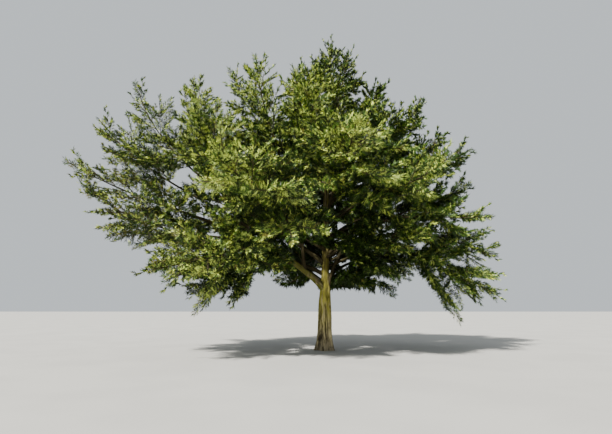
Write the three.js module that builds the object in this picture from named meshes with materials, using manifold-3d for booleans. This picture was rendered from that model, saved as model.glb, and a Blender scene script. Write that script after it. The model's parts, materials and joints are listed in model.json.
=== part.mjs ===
// A wide cedar of Lebanon in open ground. A short fluted trunk forks low down: a thick limb swings out
// to the left, a slim stem rises on the right, and the trunk runs on up to the leader. Curved boughs
// climb out all round, and each carries one mass of foliage: a stem that goes on from the bough's tip,
// twigs that branch from it by a seeded rule, and toothed sprays of needles on the twigs.
// Millimetres, +Z up, the front towards -Y.
import * as THREE from "three";
import { mergeVertices } from "three/addons/utils/BufferGeometryUtils.js";
import Module from "manifold-3d";

const wasm = await Module();
wasm.setup();

// The trunk: heights with the radius there, how far it leans to the right, and its flutes.
const TRUNK_TOP = 11300;
const TRUNK_STATIONS = [
  [0, 405],
  [120, 372],
  [330, 332],
  [700, 308],
  [1300, 292],
  [1900, 268],
  [2350, 232],
  [2800, 180],
  [3600, 155],
  [5200, 138],
  [7200, 112],
  [9400, 72],
  [TRUNK_TOP, 44],
];
const TRUNK_LEAN = 300;
const LEAN_POWER = 1.5;
const TRUNK_SIDES = 20;
const FLUTE_COUNT = 5;
const FLUTE_TURN = 0.6;
const FLUTE_AT_GROUND = 0.17;
const FLUTE_ABOVE = 0.055;
const FLARE_FADE = 320;
const FLUTE_TOP = 5200;

// Limbs: how far a limb's curve is pulled by its two ends, how far it wanders sideways, its taper and
// its faces.
const CURVE_PULL = 0.38;
const CURVE_WANDER = 0.05;
const STEM_TIP_RADIUS = 14;
const TAPER = 0.75;
const BOUGH_SIDES = 6;
const BOUGH_STEPS = 4;
const STEM_SIDES = 3;
const STEM_STEPS = 4;
const JOINT_GAP = 0.5;

// Twigs: the rule counts TWIGS_ON_STEM of them, and the solids take every TWIG_STEP-th. A twig leans
// from its stem by the first angle at the stem's foot and by the second at its tip, in radians, and is
// shorter towards the tip.
const TWIGS_ON_STEM = 16;
const FIRST_TWIG = 1;
const TWIG_STEP = 4;
const TWIG_REACH = [0.05, 0.95];
const TWIG_LEAN = [1.2, 0.62];
const TWIG_FLATNESS = 0.75;
const TWIG_RISE = 0.12;
const TWIG_TIP_SHARE = 0.2;
const TWIG_SHRINK_POWER = 1.25;
const TWIG_VARIETY = 0.15;
const TWIG_RADIUS = 26;
const TWIG_TIP_RADIUS = 12;
const TWIG_SHARE_OF_STEM = 0.7;
const DRAW_IN = 0.85;
const SHORTEST = 0.45;
const SPACE_EDGE = 1.25;
const GOLDEN_ANGLE = Math.PI * (3 - Math.sqrt(5));

// Shoots: the rule counts SHOOTS_ON_TWIG of them, to a twig's two sides in turn, and in the solids one
// spray stands for every SHOOT_STEP-th. Lengths are shares of the twig's, and one more spray carries
// the twig's tip on.
const SHOOTS_ON_TWIG = 10;
const FIRST_SHOOT = 2;
const SHOOT_STEP = 3;
const SHOOT_LENGTH = [1, 0.8];
const SHOOT_LEAST = 650;
const SHOOT_MOST = 1500;
const SHOOT_FORWARD = 0.68;
const SHOOT_ACROSS = 0.66;
const SHOOT_RISE = [-0.22, 0.26];
const BARE_TWIG = 800;
const TIP_SPRAY_LENGTH = 0.65;
const STEM_SPRAY_BACK = 900;
const STEM_SPRAY_REACH = 300;

// Sprays: a toothed blade's outline, along its length and out to its left (+) and right (-), as shares
// of length.
const SPRAY_OUTLINE = [
  [0.34, -0.24],
  [0.5, -0.1],
  [1, 0],
  [0.62, 0.25],
  [0.42, 0.11],
];
const SPRAY_MIDDLE = 0.47;
const SPRAY_HALF_THICKNESS = 0.024;
const SPRAY_HALF_WIDTH = 0.2;
const SPRAY_TILT = 1.45;
const SPRAY_BODY = [0.2, 0.85];

// Own spaces: how many pieces a limb and the trunk are measured in, how far twigs keep from what isn't
// their own, and the places in a limb's sequence of chances where those of its twigs begin.
const LIMB_PIECES = 10;
const TRUNK_PIECES = 30;
const CLEARANCE = 12;
const TURN_PLACE = 10;
const LENGTH_PLACE = 40;
const TILT_PLACE = 7;
const SEEDS_PER_LIMB = 50;

const UP = new THREE.Vector3(0, 0, 1);

// One limb: the parent it leaves and where (millimetres up the trunk, or a share of a parent limb's
// length), the tip of its stem, its climb in degrees at the foot and at the tip, its radius at the
// foot, the share of its length that is a bare bough (0 where its stem springs straight from the
// trunk), and the length of its longest twigs.
function limbRow(name, from, at, tip, climb, radius, bare, spread) {
  return { name, from, at, tip, climb, radius, bare, spread };
}

const LIMBS = [
  limbRow("left_main", "trunk", 2450, [-9700, -2800, 7000], [44, 28], 148, 0.42, 1700),
  limbRow("left_low", "left_main", 0.3, [-8650, -3500, 5900], [4, 40], 70, 0.3, 1400),
  limbRow("left_mid", "left_main", 0.17, [-9250, -1800, 9150], [42, 50], 92, 0.4, 1800),
  limbRow("left_high", "trunk", 3500, [-8600, -500, 11650], [38, 70], 96, 0.38, 1800),
  limbRow("left_rise", "left_main", 0.1, [-2850, -2400, 11650], [88, 78], 84, 0.34, 1900),
  limbRow("left_shoulder", "left_main", 0.36, [-5400, -2400, 10600], [52, 78], 66, 0.26, 1800),
  limbRow("left_front_low", "left_main", 0.22, [-5300, -5000, 2850], [6, -12], 66, 0.3, 1700),
  limbRow("left_hanging", "left_main", 0.13, [-5300, -800, 2400], [16, -26], 58, 0.24, 1500),
  limbRow("left_back_low", "trunk", 3050, [-8000, 2700, 4600], [30, 16], 88, 0, 2000),
  limbRow("left_back_high", "trunk", 5600, [-5800, 3000, 9600], [44, 55], 76, 0, 2000),
  limbRow("front_low", "left_main", 0.19, [-3800, -4400, 3500], [14, -16], 56, 0.42, 1450),
  limbRow("front_left", "trunk", 4050, [-3400, -6400, 6200], [40, 34], 82, 0.32, 2000),
  limbRow("front_mid", "trunk", 5350, [700, -6300, 7000], [42, 30], 74, 0.28, 2000),
  limbRow("front_high", "trunk", 6900, [-1200, -3200, 10450], [45, 68], 62, 0, 1800),
  limbRow("front_right", "trunk", 4850, [3900, -4700, 6500], [44, 24], 76, 0, 1900),
  limbRow("front_right_low", "trunk", 3750, [3300, -3300, 4050], [26, -12], 60, 0, 1700),
  limbRow("right_stem", "trunk", 1400, [6350, -400, 8450], [88, 26], 98, 0.36, 1900),
  limbRow("right_low", "right_stem", 0.3, [8150, 1900, 4200], [26, -16], 68, 0.1, 2200),
  limbRow("right_hanging", "right_stem", 0.22, [7100, 200, 2250], [26, -42], 56, 0.34, 2000),
  limbRow("right_inner", "trunk", 3350, [3600, 1100, 3850], [30, -8], 50, 0, 1600),
  limbRow("right_high", "trunk", 5950, [4450, -500, 10700], [50, 52], 74, 0, 1800),
  limbRow("right_top", "trunk", 7900, [2850, 200, 11900], [52, 60], 52, 0, 1700),
  limbRow("right_back_low", "trunk", 2900, [5300, 5600, 3900], [30, -8], 84, 0, 2100),
  limbRow("right_back_mid", "trunk", 4450, [5900, 4100, 7600], [44, 34], 80, 0, 2100),
  limbRow("back_low", "trunk", 3300, [-700, 7300, 4500], [30, 0], 84, 0, 2200),
  limbRow("back_left_mid", "trunk", 4800, [-4400, 6000, 7700], [44, 34], 78, 0, 2200),
  limbRow("back_mid", "trunk", 6100, [1500, 5800, 9200], [46, 44], 70, 0, 2100),
  limbRow("back_high", "trunk", 7500, [-1900, 3300, 11300], [52, 62], 56, 0, 1800),
  limbRow("inner_left", "trunk", 6500, [-4200, -700, 12200], [50, 70], 56, 0, 1700),
  limbRow("inner_right", "trunk", 6700, [4300, 1700, 9700], [50, 44], 56, 0, 1800),
  limbRow("inner_front", "trunk", 9100, [-400, -1700, 11700], [50, 66], 38, 0, 1500),
  limbRow("back_inner", "trunk", 3640, [1500, 3100, 4500], [24, 6], 46, 0, 1700),
  limbRow("left_inner", "trunk", 4500, [-6100, 2300, 8200], [36, 34], 60, 0, 2000),
  limbRow("right_under", "trunk", 2680, [2300, 1300, 3750], [34, -2], 38, 0, 1200),
  limbRow("left_under", "trunk", 2740, [-1900, 2000, 3800], [30, 0], 38, 0, 1100),
  limbRow("right_mid", "trunk", 3900, [6750, 900, 7300], [36, 26], 80, 0, 2100),
  limbRow("right_back_inner", "trunk", 4900, [2300, 2500, 7000], [40, 40], 44, 0, 1600),
  limbRow("right_upper", "trunk", 5200, [5600, 300, 9500], [46, 44], 72, 0, 1700),
  limbRow("right_near", "trunk", 3560, [2300, 200, 4500], [24, 0], 38, 0, 1200),
  limbRow("right_level", "trunk", 4600, [6600, -1100, 5350], [30, 0], 66, 0, 1900),
  limbRow("left_level", "trunk", 4100, [-6300, 900, 7200], [34, 30], 60, 0, 1700),
  limbRow("top_back", "trunk", 9300, [900, 2100, 12100], [48, 62], 38, 0, 1400),
  limbRow("top_left", "trunk", 9700, [-1100, 200, 12850], [56, 78], 36, 0, 1300),
  limbRow("top_right", "trunk", 9900, [1200, -150, 13450], [56, 76], 36, 0, 1400),
  limbRow("leader", "trunk", TRUNK_TOP, [480, -60, 13900], [86, 84], 40, 0, 1200),
];

// A number from 0 to 1 that depends only on the seed and the place in its sequence.
function chance(seed, place) {
  const wave = Math.sin(seed * 127.1 + place * 311.7) * 43758.5453;
  return wave - Math.floor(wave);
}

function mix(a, b, share) {
  return a + (b - a) * share;
}

// The value at x on the straight lines that join stations of [x, value].
function onStations(stations, x) {
  for (let i = 1; i < stations.length; i++) {
    const [x0, v0] = stations[i - 1];
    const [x1, v1] = stations[i];
    if (x <= x1) return mix(v0, v1, (x - x0) / (x1 - x0));
  }
  return stations.at(-1)[1];
}

function trunkRadius(height) {
  return onStations(TRUNK_STATIONS, height);
}

function trunkAxis(height) {
  return new THREE.Vector3(TRUNK_LEAN * (height / TRUNK_TOP) ** LEAN_POWER, 0, height);
}

// The radius's swell at an angle round the trunk: root lobes at the ground that fade into shallow flutes.
function flute(angle, height) {
  const lobes = Math.cos(FLUTE_COUNT * (angle + FLUTE_TURN));
  const fade = Math.max(0, 1 - height / FLUTE_TOP);
  const depth = FLUTE_ABOVE * fade + (FLUTE_AT_GROUND - FLUTE_ABOVE) * Math.exp(-height / FLARE_FADE);
  return 1 + depth * lobes;
}

// A closed tube round a path: a cylinder whose rings are moved onto the path's places.
function tubeGeometry(place, radiusAt, sides, steps) {
  const geometry = new THREE.CylinderGeometry(1, 1, 1, sides, steps);
  const position = geometry.getAttribute("position");
  for (let i = 0; i < position.count; i++) {
    const share = position.getY(i) + 0.5;
    const { centre, side, rise } = place(share);
    const x = position.getX(i);
    const z = position.getZ(i);
    const radius = radiusAt(share, Math.atan2(z, x));
    const point = centre
      .clone()
      .addScaledVector(side, x * radius)
      .addScaledVector(rise, z * radius);
    position.setXYZ(i, point.x, point.y, point.z);
  }
  return geometry;
}

// The trunk's tube, with a ring at each station, grown by extra all round.
function trunkGeometry(extra) {
  const rings = TRUNK_STATIONS.length - 1;
  const heightAt = (share) => TRUNK_STATIONS[Math.round(share * rings)][0];
  const place = (share) => ({
    centre: trunkAxis(heightAt(share)),
    side: new THREE.Vector3(1, 0, 0),
    rise: new THREE.Vector3(0, -1, 0),
  });
  const radiusAt = (share, angle) => {
    const height = heightAt(share);
    return trunkRadius(height) * flute(-angle, height) + extra;
  };
  return tubeGeometry(place, radiusAt, TRUNK_SIDES, rings).translate(0, 0, extra);
}

// Works out a limb's curve: it leaves its parent's middle line at one climb and reaches its tip at another.
function layOut(limb, index, laid) {
  const parent = laid.get(limb.from);
  const start = parent ? parent.curve.getPoint(limb.at) : trunkAxis(limb.at);
  const end = new THREE.Vector3(...limb.tip);
  const across = end.clone().sub(start);
  const azimuth = Math.atan2(across.y, across.x);
  const side = new THREE.Vector3(-Math.sin(azimuth), Math.cos(azimuth), 0);
  const pull = across.length() * CURVE_PULL;
  const towards = (degrees, place) => {
    const climb = THREE.MathUtils.degToRad(degrees);
    const along = new THREE.Vector3(Math.cos(azimuth), Math.sin(azimuth), 0);
    return along
      .multiplyScalar(Math.cos(climb))
      .addScaledVector(UP, Math.sin(climb))
      .addScaledVector(side, (chance(index, place) - 0.5) * 2 * CURVE_WANDER)
      .multiplyScalar(pull);
  };
  const curve = new THREE.CubicBezierCurve3(
    start,
    start.clone().add(towards(limb.climb[0], 1)),
    end.clone().sub(towards(limb.climb[1], 2)),
    end,
  );
  return { ...limb, index, side, curve };
}

function limbRadius(limb, t) {
  return mix(limb.radius, STEM_TIP_RADIUS, t ** TAPER);
}

// A limb's middle point at t, with its direction and the two directions square to it.
function limbPlace(limb, t) {
  const centre = limb.curve.getPoint(t);
  const along = limb.curve.getTangent(t);
  const rise = along.clone().cross(limb.side).negate().normalize();
  const side = rise.clone().cross(along).negate().normalize();
  return { centre, along, side, rise };
}

function limbGeometry(limb, first, last, sides, steps, extra) {
  const shareAt = (share) => mix(first, last, share);
  return tubeGeometry(
    (share) => limbPlace(limb, shareAt(share)),
    (share) => limbRadius(limb, shareAt(share)) + extra,
    sides,
    steps,
  );
}

// A closed geometry as a solid, and a solid as a geometry.
function solidOf(geometry) {
  const bare = new THREE.BufferGeometry();
  bare.setAttribute("position", geometry.getAttribute("position"));
  bare.setIndex(geometry.getIndex());
  const merged = mergeVertices(bare, 1e-3);
  return new wasm.Manifold(
    new wasm.Mesh({
      numProp: 3,
      vertProperties: merged.getAttribute("position").array,
      triVerts: new Uint32Array(merged.getIndex().array),
    }),
  );
}

function geometryOf(solid) {
  const mesh = solid.getMesh();
  const geometry = new THREE.BufferGeometry();
  geometry.setAttribute("position", new THREE.BufferAttribute(mesh.vertProperties, 3));
  geometry.setIndex(new THREE.BufferAttribute(mesh.triVerts, 1));
  geometry.computeVertexNormals();
  return geometry;
}

// The largest body of a solid: loose scraps are dropped and sealed hollows are filled.
function largestBody(solid) {
  return solid.decompose().reduce((best, body) => (body.volume() > best.volume() ? body : best));
}

// A toothed blade of needles: the outline, with a peak on either face. It springs from a point, or from
// the end of a stalk of diamond section that carries it.
function sprayGeometry(spray) {
  const { root, along, stalk, length } = spray;
  const level = new THREE.Vector3().crossVectors(UP, along).normalize();
  const across = level.applyAxisAngle(along, spray.tilt);
  const face = along.clone().cross(across);
  const put = (x, y, z) =>
    root.clone().addScaledVector(along, x).addScaledVector(across, y).addScaledVector(face, z);
  const ring = (x, r) => [put(x, 0, r), put(x, -r, 0), put(x, 0, -r), put(x, r, 0)];
  const foot = stalk > 0 ? [...ring(0, spray.radius), ...ring(stalk, TWIG_TIP_RADIUS)] : [put(0, 0, 0)];
  const rim = SPRAY_OUTLINE.map(([x, y]) => put(stalk + x * length, y * length, 0));
  const height = SPRAY_HALF_THICKNESS * length;
  const peaks = [height, -height].map((z) => put(stalk + SPRAY_MIDDLE * length, 0, z));
  const rimAt = rim.map((_, i) => foot.length + i);
  const [top, bottom] = [foot.length + rim.length, foot.length + rim.length + 1];
  const upper = stalk > 0 ? [7, 4, 5, ...rimAt] : [0, ...rimAt];
  const lower = stalk > 0 ? [7, 6, 5, ...rimAt] : [0, ...rimAt];
  const index = stalk > 0 ? [0, 3, 2, 0, 2, 1] : [];
  for (let i = 0; stalk > 0 && i < 4; i++) {
    const next = (i + 1) % 4;
    index.push(i, next, i + 4, next, next + 4, i + 4);
  }
  upper.forEach((corner, i) => index.push(corner, upper[(i + 1) % upper.length], top));
  lower.forEach((corner, i) => index.push(lower[(i + 1) % lower.length], corner, bottom));
  const geometry = new THREE.BufferGeometry().setFromPoints([...foot, ...rim, ...peaks]);
  geometry.setIndex(index);
  return geometry;
}

// The point at a share of a spray's blade, past its stalk.
function sprayPoint(spray, share) {
  return spray.root.clone().addScaledVector(spray.along, spray.stalk + spray.length * share);
}

// The shortest distance between two straight pieces, each from a to b.
function pieceDistance(p, q) {
  const u = p.b.clone().sub(p.a);
  const v = q.b.clone().sub(q.a);
  const w = p.a.clone().sub(q.a);
  const uu = u.dot(u);
  const uv = u.dot(v);
  const vv = v.dot(v);
  const uw = u.dot(w);
  const vw = v.dot(w);
  const spread = uu * vv - uv * uv;
  let s = spread > 1e-9 ? THREE.MathUtils.clamp((uv * vw - vv * uw) / spread, 0, 1) : 0;
  const t = THREE.MathUtils.clamp((uv * s + vw) / vv, 0, 1);
  s = THREE.MathUtils.clamp((uv * t - uw) / uu, 0, 1);
  return w.addScaledVector(u, s).addScaledVector(v, -t).length();
}

// Straight pieces along a path, each with the radius at its foot.
function piecesAlong(pointAt, radiusAt, first, last, count) {
  return Array.from({ length: count }, (_, i) => {
    const foot = mix(first, last, i / count);
    const tip = mix(first, last, (i + 1) / count);
    return { a: pointAt(foot), b: pointAt(tip), radius: radiusAt(foot) };
  });
}

function limbPieces(limb, first, last) {
  const pointAt = (t) => limb.curve.getPoint(t);
  const radiusAt = (t) => limbRadius(limb, t);
  return piecesAlong(pointAt, radiusAt, first, last, LIMB_PIECES);
}

// The straight pieces that twigs and sprays keep clear of: the trunk and every bare bough.
function woodPieces(limbs) {
  const lobed = (height) => trunkRadius(height) * (1 + FLUTE_AT_GROUND);
  const trunk = piecesAlong(trunkAxis, lobed, 0, TRUNK_TOP, TRUNK_PIECES);
  const boughs = limbs.filter((limb) => limb.bare > 0);
  return [...trunk, ...boughs.flatMap((limb) => limbPieces(limb, 0, limb.bare))];
}

// Points along every stem, which divide the crown: a place belongs to the limb whose stem is nearest.
function stemPoints(limbs) {
  const pointOf = (limb, i) => limb.curve.getPoint(mix(limb.bare, 1, i / LIMB_PIECES));
  return limbs.flatMap((limb) =>
    Array.from({ length: LIMB_PIECES + 1 }, (_, i) => ({ point: pointOf(limb, i), limb })),
  );
}

// Tells whether a point is in a limb's own space, whose edges reach a little past halfway to the next stem.
function isOwn(point, limb, stems) {
  let nearest = Infinity;
  let own = Infinity;
  for (const stem of stems) {
    const distance = point.distanceTo(stem.point);
    nearest = Math.min(nearest, distance);
    if (stem.limb === limb) own = Math.min(own, distance);
  }
  return own <= nearest * SPACE_EDGE;
}

// One twig of a stem by the seeded rule: set at the golden angle from the last, leaning forwards, and
// shorter towards the stem's tip. It ends in a spray.
function twigOf(limb, k) {
  const share = (k + 0.5) / TWIGS_ON_STEM;
  const t = mix(limb.bare, 1, mix(...TWIG_REACH, share));
  const { centre, along, side, rise } = limbPlace(limb, t);
  const around = k * GOLDEN_ANGLE + chance(limb.index, TURN_PLACE + k);
  const lean = mix(...TWIG_LEAN, share);
  const heading = along
    .clone()
    .multiplyScalar(Math.cos(lean))
    .addScaledVector(side, Math.sin(lean) * Math.cos(around))
    .addScaledVector(rise, Math.sin(lean) * Math.sin(around) * TWIG_FLATNESS)
    .addScaledVector(UP, TWIG_RISE)
    .normalize();
  const shrink = mix(1, TWIG_TIP_SHARE, share ** TWIG_SHRINK_POWER);
  const variety = mix(1 - TWIG_VARIETY, 1 + TWIG_VARIETY, chance(limb.index, LENGTH_PLACE + k));
  const stalk = limb.spread * shrink * variety;
  const length = Math.max(stalk * TIP_SPRAY_LENGTH, SHOOT_LEAST);
  const seed = limb.index * SEEDS_PER_LIMB + k;
  const radius = Math.min(TWIG_RADIUS, limbRadius(limb, t) * TWIG_SHARE_OF_STEM);
  return { root: centre, along: heading, stalk, length, radius, seed, tilt: tiltOf(seed) };
}

// The spray that stands for one shoot of a twig, on the side that its number gives.
function shootOf(twig, j) {
  const share = (j + 0.5) / SHOOTS_ON_TWIG;
  const hand = (j + twig.seed) % 2 === 0 ? 1 : -1;
  const flat = new THREE.Vector3().crossVectors(twig.along, UP).normalize();
  const along = twig.along
    .clone()
    .multiplyScalar(SHOOT_FORWARD)
    .addScaledVector(flat, hand * SHOOT_ACROSS)
    .addScaledVector(UP, mix(...SHOOT_RISE, chance(twig.seed, j)))
    .normalize();
  const length = THREE.MathUtils.clamp(twig.stalk * mix(...SHOOT_LENGTH, share), SHOOT_LEAST, SHOOT_MOST);
  const root = twig.root.clone().addScaledVector(twig.along, twig.stalk * share);
  return { root, along, stalk: 0, length, tilt: tiltOf(twig.seed + j) };
}

function tiltOf(seed) {
  return mix(-SPRAY_TILT, SPRAY_TILT, chance(seed, TILT_PLACE));
}

// The spray that carries a stem's tip on.
function stemSpray(limb) {
  const root = limb.curve.getPoint(1 - STEM_SPRAY_BACK / limb.curve.getLength());
  const end = limb.curve.getPoint(1);
  const along = end.clone().sub(root).normalize();
  return { root, along, stalk: 0, length: end.distanceTo(root) + STEM_SPRAY_REACH, tilt: tiltOf(limb.index) };
}

// Draws a spray and its stalk in until the tip is in its limb's own space. Tells whether enough of it
// is left.
function drawIn(spray, limb, stems) {
  const least = spray.length * SHORTEST;
  while (spray.length > least && !isOwn(sprayPoint(spray, 1), limb, stems)) {
    spray.stalk *= DRAW_IN;
    spray.length *= DRAW_IN;
  }
  return spray.length > least;
}

// The straight pieces that a spray and its stalk take up.
function sprayPieces(spray) {
  const radius = SPRAY_HALF_WIDTH * spray.length;
  const [foot, end] = SPRAY_BODY.map((share) => sprayPoint(spray, share));
  const blade = { a: foot, b: end, radius };
  return spray.stalk > 0 ? [{ a: spray.root, b: foot, radius: TWIG_RADIUS }, blade] : [blade];
}

// One mass of foliage: a stem, its twigs and their sprays, fused. A twig or spray that leaves the limb's
// own space, or touches wood or another mass, is skipped.
function growMass(limb, stems, taken) {
  const first = limb.bare + JOINT_GAP / limb.curve.getLength();
  const stem = solidOf(limbGeometry(limb, first, 1, STEM_SIDES, STEM_STEPS, 0));
  const own = limbPieces(limb, limb.bare, 1);
  let solid = limb.bare > 0 ? stem : stem.subtract(trunkCutter);
  const apart = (p, q) => pieceDistance(p, q) > p.radius + q.radius + CLEARANCE;
  const add = (spray) => {
    if (!drawIn(spray, limb, stems)) return false;
    const pieces = sprayPieces(spray);
    if (!pieces.every((piece) => taken.every((other) => apart(piece, other)))) return false;
    solid = solid.add(solidOf(sprayGeometry(spray)));
    own.push(...pieces);
    return true;
  };
  for (let k = FIRST_TWIG; k < TWIGS_ON_STEM; k += TWIG_STEP) {
    const twig = twigOf(limb, k);
    if (!add(twig) || twig.stalk < BARE_TWIG) continue;
    for (let j = FIRST_SHOOT; j < SHOOTS_ON_TWIG; j += SHOOT_STEP) add(shootOf(twig, j));
  }
  add(stemSpray(limb));
  taken.push(...own);
  return largestBody(solid);
}

// The part is put together: materials, trunk, boughs cut clear of what they grow from, and the masses.
const bark = new THREE.MeshStandardMaterial({ color: 0x6b6048, roughness: 0.95, metalness: 0 });
const mossyBark = new THREE.MeshStandardMaterial({ color: 0x77702f, roughness: 0.95, metalness: 0 });
const needles = new THREE.MeshStandardMaterial({ color: 0x3c5a22, roughness: 0.7, metalness: 0 });

const tree = new THREE.Group();
tree.name = "cedar_of_lebanon";

function addMesh(name, solid, material) {
  const mesh = new THREE.Mesh(geometryOf(solid), material);
  mesh.name = name;
  tree.add(mesh);
}

const laid = new Map();
LIMBS.forEach((limb, index) => laid.set(limb.name, layOut(limb, index + 1, laid)));
const limbs = [...laid.values()];

const trunkCutter = solidOf(trunkGeometry(JOINT_GAP));
function parentCutter(limb) {
  const parent = laid.get(limb.from);
  if (!parent) return trunkCutter;
  return solidOf(limbGeometry(parent, 0, parent.bare, BOUGH_SIDES, BOUGH_STEPS, JOINT_GAP));
}

addMesh("trunk", solidOf(trunkGeometry(0)), bark);

for (const limb of limbs.filter((one) => one.bare > 0)) {
  const whole = solidOf(limbGeometry(limb, 0, limb.bare, BOUGH_SIDES, BOUGH_STEPS, 0));
  const cut = largestBody(whole.subtract(parentCutter(limb)));
  addMesh("bough_" + limb.name, cut, limb.name === "left_main" ? mossyBark : bark);
}

const stems = stemPoints(limbs);
const taken = woodPieces(limbs);
for (const limb of limbs) addMesh("foliage_" + limb.name, growMass(limb, stems, taken), needles);

export default tree;
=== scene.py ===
import json
import math
from collections import namedtuple

import bpy
import numpy as np
from bpy.props import FloatProperty, FloatVectorProperty, IntProperty, PointerProperty
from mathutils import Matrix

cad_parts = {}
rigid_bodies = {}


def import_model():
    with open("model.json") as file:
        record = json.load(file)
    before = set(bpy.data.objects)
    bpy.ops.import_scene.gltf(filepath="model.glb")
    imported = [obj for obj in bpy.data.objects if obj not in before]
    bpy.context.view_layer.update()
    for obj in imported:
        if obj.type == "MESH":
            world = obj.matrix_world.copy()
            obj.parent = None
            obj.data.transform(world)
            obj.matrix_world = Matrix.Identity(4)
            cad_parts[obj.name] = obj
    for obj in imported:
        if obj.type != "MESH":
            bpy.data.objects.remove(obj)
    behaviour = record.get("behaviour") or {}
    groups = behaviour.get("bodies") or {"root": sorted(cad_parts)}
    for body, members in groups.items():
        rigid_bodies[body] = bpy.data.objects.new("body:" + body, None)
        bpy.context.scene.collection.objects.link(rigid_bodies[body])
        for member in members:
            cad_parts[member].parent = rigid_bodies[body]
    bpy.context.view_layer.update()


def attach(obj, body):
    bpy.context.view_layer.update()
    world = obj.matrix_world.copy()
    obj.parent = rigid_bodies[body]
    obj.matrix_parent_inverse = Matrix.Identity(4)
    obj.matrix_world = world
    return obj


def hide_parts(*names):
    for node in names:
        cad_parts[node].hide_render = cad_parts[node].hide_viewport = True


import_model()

# A wide cedar of Lebanon, dressed round its frame. The frame's limbs are laid out again by the same rule, and
# the growth goes on from them: twigs on the stems, shoots on the twigs, sprays on the shoots and needles on
# the sprays. Metres, +Z up, the front towards -Y, the origin in the middle of the trunk's cut.
bl_info = {
    "name": "Cedar of Lebanon",
    "version": (1, 0, 0),
    "blender": (4, 5, 0),
    "location": "3D View > Sidebar > Cedar",
    "description": "Bark, twigs and needles grown round the frame of a wide cedar of Lebanon",
    "category": "Add Mesh",
}

BODY = "root"
UP = np.array([0.0, 0.0, 1.0])
RIGHT = np.array([1.0, 0.0, 0.0])
GOLDEN_ANGLE = math.pi * (3 - math.sqrt(5))

# The trunk: heights with the radius there, how far it leans to the right, and its flutes.
TRUNK_TOP = 11.3
TRUNK_STATIONS = np.array([
    (0, 0.405), (0.12, 0.372), (0.33, 0.332), (0.7, 0.308), (1.3, 0.292), (1.9, 0.268), (2.35, 0.232),
    (2.8, 0.18), (3.6, 0.155), (5.2, 0.138), (7.2, 0.112), (9.4, 0.072), (TRUNK_TOP, 0.044),
])
TRUNK_LEAN = 0.3
LEAN_POWER = 1.5
FLUTE_COUNT = 5
FLUTE_TURN = 0.6
FLUTE_AT_GROUND = 0.17
FLUTE_ABOVE = 0.055
FLARE_FADE = 0.32
FLUTE_TOP = 5.2
CLEFT_ANGLE = 2 * math.pi - 1.06
CLEFT_WIDTH = 0.16
CLEFT_DEPTH = 0.2
CLEFT_FADE = 0.6
CLEFT_TOP = 3

# Limbs: how far a curve is pulled by its two ends, how far it wanders sideways, and its taper.
CURVE_PULL = 0.38
CURVE_WANDER = 0.05
STEM_TIP_RADIUS = 0.014
TAPER = 0.75
LENGTH_STEPS = 200

# Twigs and shoots by the frame's rule: counts, leans in radians and lengths.
TWIGS_ON_STEM = 16
TWIG_REACH = (0.05, 0.95)
TWIG_LEAN = (1.2, 0.62)
TWIG_FLATNESS = 0.75
TWIG_RISE = 0.12
TWIG_TIP_SHARE = 0.2
TWIG_SHRINK_POWER = 1.25
TWIG_VARIETY = 0.15
TWIG_RADIUS = 0.026
TWIG_TIP_RADIUS = 0.012
TWIG_SHARE_OF_STEM = 0.7
SHOOTS_ON_TWIG = 10
SHOOTS_LEAST = 2
SHOOT_LENGTH = (1, 0.8)
SHOOT_LEAST = 0.65
SHOOT_MOST = 1.5
SHOOT_FORWARD = 0.68
SHOOT_ACROSS = 0.66
SHOOT_RISE = (-0.22, 0.26)
BARE_TWIG = 0.8
TIP_SPRAY_LENGTH = 0.65
STEM_SPRAY_BACK = 0.9
STEM_SPRAY_REACH = 0.3
SPRAY_TILT = 1.45
BOW_DROP = 0.6
SHOOT_MIDDLE = 0.6

# Seeds: how many each level of growth leaves for the next, those of growths on a tip, and the places that
# tell one seed's draws apart.
SEEDS_PER_LIMB = 50
SEEDS_PER_TWIG = 20
SEEDS_PER_SHOOT = 64
SEEDS_PER_SPRAY = 9
TWIG_TIP_SEED = 15
STEM_TIP_SEED = 17
SHOOT_TIP_SEED = 60
WANDER_PLACES = (1, 2)
TURN_PLACE = 10
LENGTH_PLACE = 40
TILT_PLACE = 7
BOW_PLACES = (61, 62)
SPRAY_LIFT_PLACE, SPRAY_SIZE_PLACE, SPRAY_ROLL_PLACE = 3, 4, 5
NEEDLE_LEAN_PLACE, NEEDLE_LIFT_PLACE, NEEDLE_ROLL_PLACE, NEEDLE_SIZE_PLACE = 1, 2, 6, 8
SHOOT_LIGHT_PLACE, SPRAY_LIGHT_PLACE, BLUE_PLACE, OLIVE_PLACE = 31, 32, 33, 34

# Own spaces: a limb's twigs keep to places nearer its stem than others', or little further.
SPACE_PIECES = 10
SPACE_EDGE = 1.25
DRAW_IN = 0.85
SHORTEST = 0.45
TRUNK_PIECES = 30
CLEARANCE = 0.05
POINTS_AT_ONCE = 4000

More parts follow.
